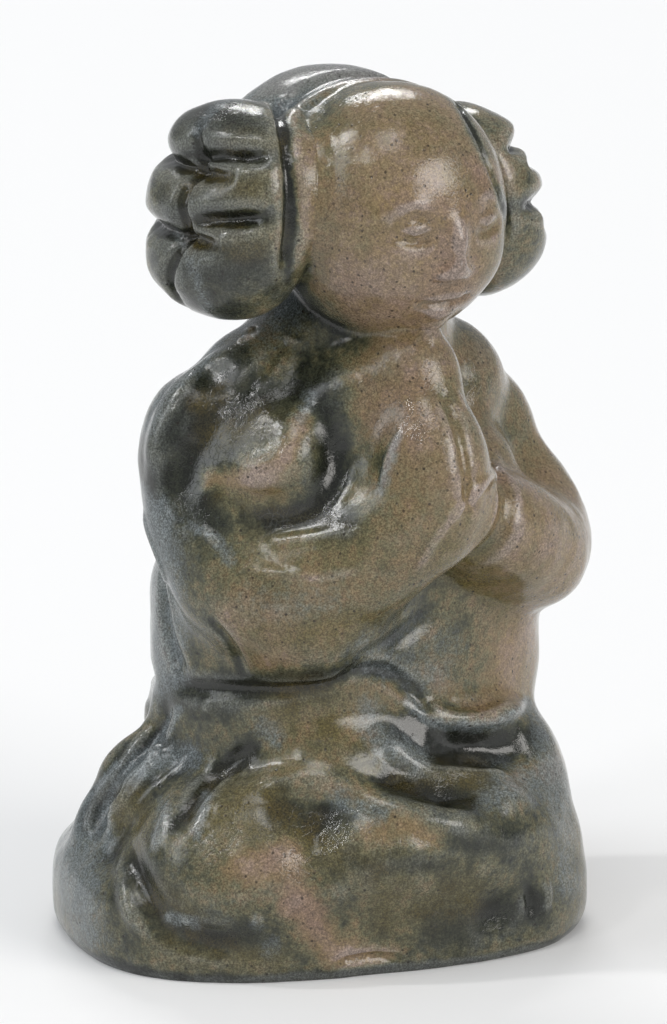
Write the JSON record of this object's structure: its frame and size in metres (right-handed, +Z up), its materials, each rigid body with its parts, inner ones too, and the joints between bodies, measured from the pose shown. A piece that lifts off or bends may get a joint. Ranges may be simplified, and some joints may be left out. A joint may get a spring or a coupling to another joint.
{
  "type": "female worshipper figurine",
  "caption": "Small hand-modelled votive figurine of a kneeling woman with side buns, hands joined under the chin, in glazed stoneware.",
  "frame": {"origin": "middle of the bounding box, on the flat underside", "axes": "+Z up along the figure, -Y to its front, +X to its own left"},
  "size_m": [0.0594, 0.0496, 0.0948],
  "materials": {
    "glazed_stoneware": "gloss"
  },
  "bodies": {
    "root": {"figurine": "glazed_stoneware"}
  },
  "joints": []
}
